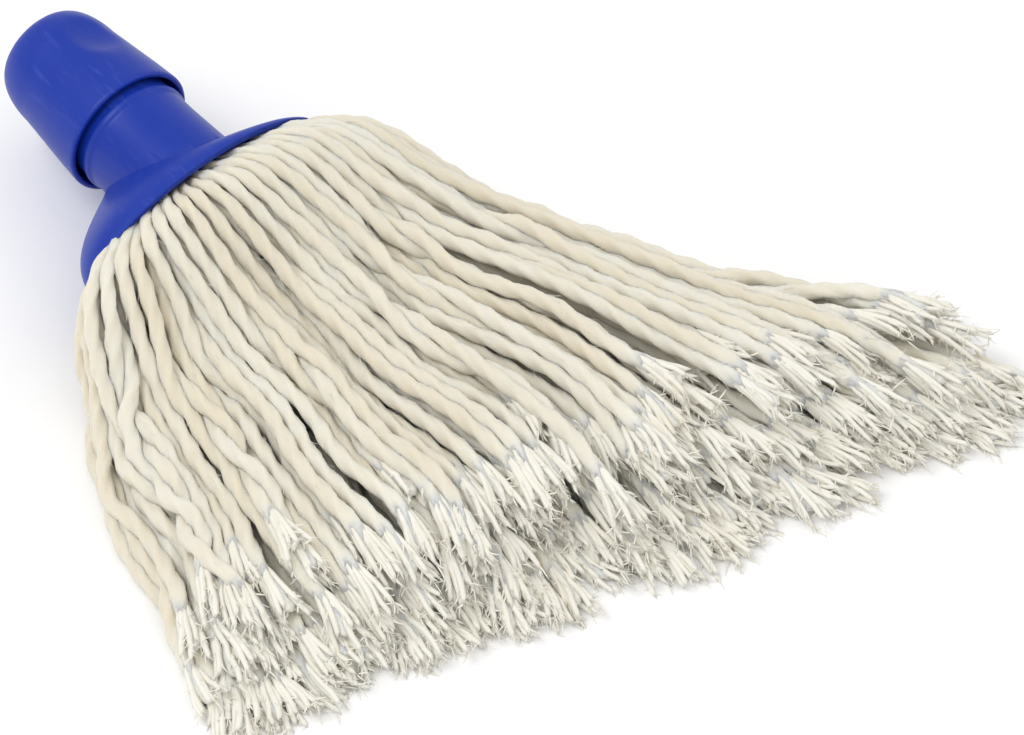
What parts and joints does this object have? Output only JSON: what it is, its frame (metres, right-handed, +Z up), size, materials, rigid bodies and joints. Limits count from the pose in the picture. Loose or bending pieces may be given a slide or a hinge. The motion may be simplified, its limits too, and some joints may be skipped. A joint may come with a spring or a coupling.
{
  "type": "socket mop head",
  "caption": "Cotton yarn mop head fanned out on a floor, held in the oval hood of a blue plastic socket with a twist-lock collar for a handle.",
  "frame": {"origin": "on the floor, under the middle of the head's box, with the head lying flat", "axes": "+Y from the yarn's ends towards the handle socket's mouth, along the handle axis; +Z up from the floor; +X across the fan, to the right as seen from the yarn's ends looking along +Y"},
  "size_m": [0.2924, 0.3049, 0.0576],
  "materials": {
    "socket_plastic": "satin moulded plastic, mid blue",
    "pad_plastic": "matt black moulded plastic",
    "steel": "zinc-plated steel",
    "cotton_yarn": "unbleached twisted cotton yarn, cut ends frayed"
  },
  "bodies": {
    "socket": {"socket_body": "socket_plastic", "handle_sleeve": "pad_plastic", "collar_snap_ring": "steel", "yarn_bar": "pad_plastic", "yarn_bar_screw_left": "steel", "yarn_bar_screw_right": "steel", "yarn_fold_upper": "cotton_yarn", "yarn_fold_lower": "cotton_yarn", "yarn_tuft_lower_01": "cotton_yarn", "yarn_tuft_lower_02": "cotton_yarn", "yarn_tuft_lower_03": "cotton_yarn", "yarn_tuft_lower_04": "cotton_yarn", "yarn_tuft_lower_05": "cotton_yarn", "yarn_tuft_lower_06": "cotton_yarn", "yarn_tuft_lower_07": "cotton_yarn", "yarn_tuft_lower_08": "cotton_yarn", "yarn_tuft_lower_09": "cotton_yarn", "yarn_tuft_lower_10": "cotton_yarn", "yarn_tuft_lower_11": "cotton_yarn", "yarn_tuft_lower_12": "cotton_yarn", "yarn_tuft_middle_01": "cotton_yarn", "yarn_tuft_middle_02": "cotton_yarn", "yarn_tuft_middle_03": "cotton_yarn", "yarn_tuft_middle_04": "cotton_yarn", "yarn_tuft_middle_05": "cotton_yarn", "yarn_tuft_middle_06": "cotton_yarn", "yarn_tuft_middle_07": "cotton_yarn", "yarn_tuft_middle_08": "cotton_yarn", "yarn_tuft_middle_09": "cotton_yarn", "yarn_tuft_middle_10": "cotton_yarn", "yarn_tuft_middle_11": "cotton_yarn", "yarn_tuft_middle_12": "cotton_yarn", "yarn_tuft_upper_01": "cotton_yarn", "yarn_tuft_upper_02": "cotton_yarn", "yarn_tuft_upper_03": "cotton_yarn", "yarn_tuft_upper_04": "cotton_yarn", "yarn_tuft_upper_05": "cotton_yarn", "yarn_tuft_upper_06": "cotton_yarn", "yarn_tuft_upper_07": "cotton_yarn", "yarn_tuft_upper_08": "cotton_yarn", "yarn_tuft_upper_09": "cotton_yarn", "yarn_tuft_upper_10": "cotton_yarn", "yarn_tuft_upper_11": "cotton_yarn", "yarn_tuft_upper_12": "cotton_yarn"},
    "collar": {"locking_collar": "socket_plastic"},
    "pad_left": {"locking_pad_left": "pad_plastic"},
    "pad_right": {"locking_pad_right": "pad_plastic"}
  },
  "joints": [
    {"name": "collar_twist", "type": "hinge", "parent": "socket", "child": "collar", "pos_m": [-0.041, 0.1055, 0.034], "axis": [0, -1, 0], "range_deg": [0, 60]},
    {"name": "pad_left_slide", "type": "slide", "parent": "socket", "child": "pad_left", "axis": [1, 0, 0], "range_m": [0, 0.0014]},
    {"name": "pad_right_slide", "type": "slide", "parent": "socket", "child": "pad_right", "axis": [-1, 0, 0], "range_m": [0, 0.0014]}
  ],
  "couplings": [
    {"joint": "pad_left_slide", "follows": "collar_twist", "m_per_rad": 0.001336},
    {"joint": "pad_right_slide", "follows": "collar_twist", "m_per_rad": 0.001336}
  ]
}
